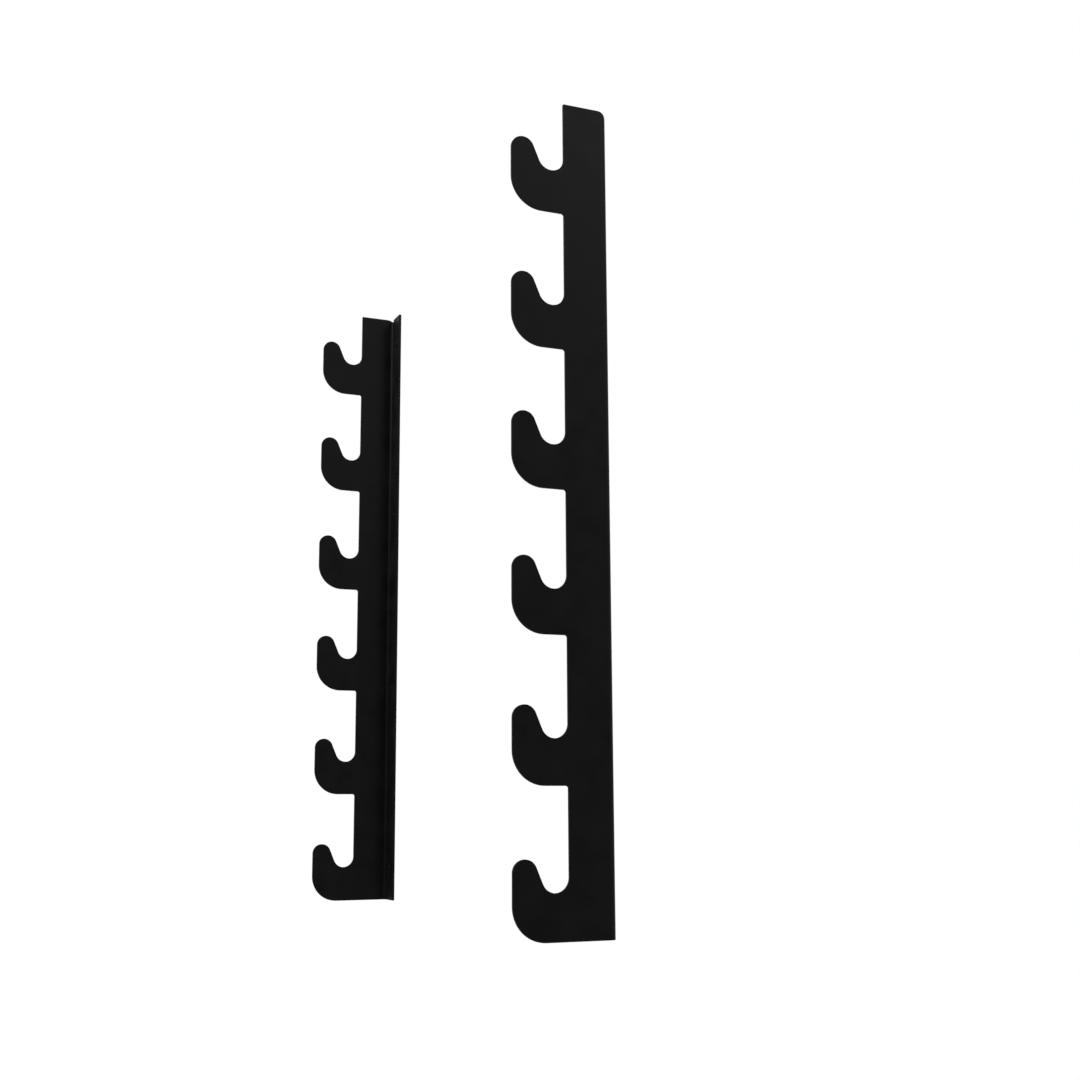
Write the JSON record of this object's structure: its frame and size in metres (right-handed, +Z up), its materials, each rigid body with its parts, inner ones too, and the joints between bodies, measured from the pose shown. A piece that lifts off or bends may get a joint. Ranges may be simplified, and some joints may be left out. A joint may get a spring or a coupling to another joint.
{
  "type": "barbell storage rack",
  "caption": "Wall mounted barbell rack: mirrored folded steel plate uprights whose profile cut J hooks hold bars level, one above another.",
  "frame": {"origin": "on the wall plane, midway between the uprights, level with their bottom edges", "axes": "+Z up; +Y into the wall, so the hooks point along -Y into the room; +X along the wall, from the left upright to the right one"},
  "size_m": [0.848, 0.1245, 0.974],
  "materials": {
    "black_powder_coat": "satin black powder coat with a fine texture on folded steel plate"
  },
  "bodies": {
    "root": {"left_upright": "black_powder_coat", "right_upright": "black_powder_coat"}
  },
  "joints": []
}
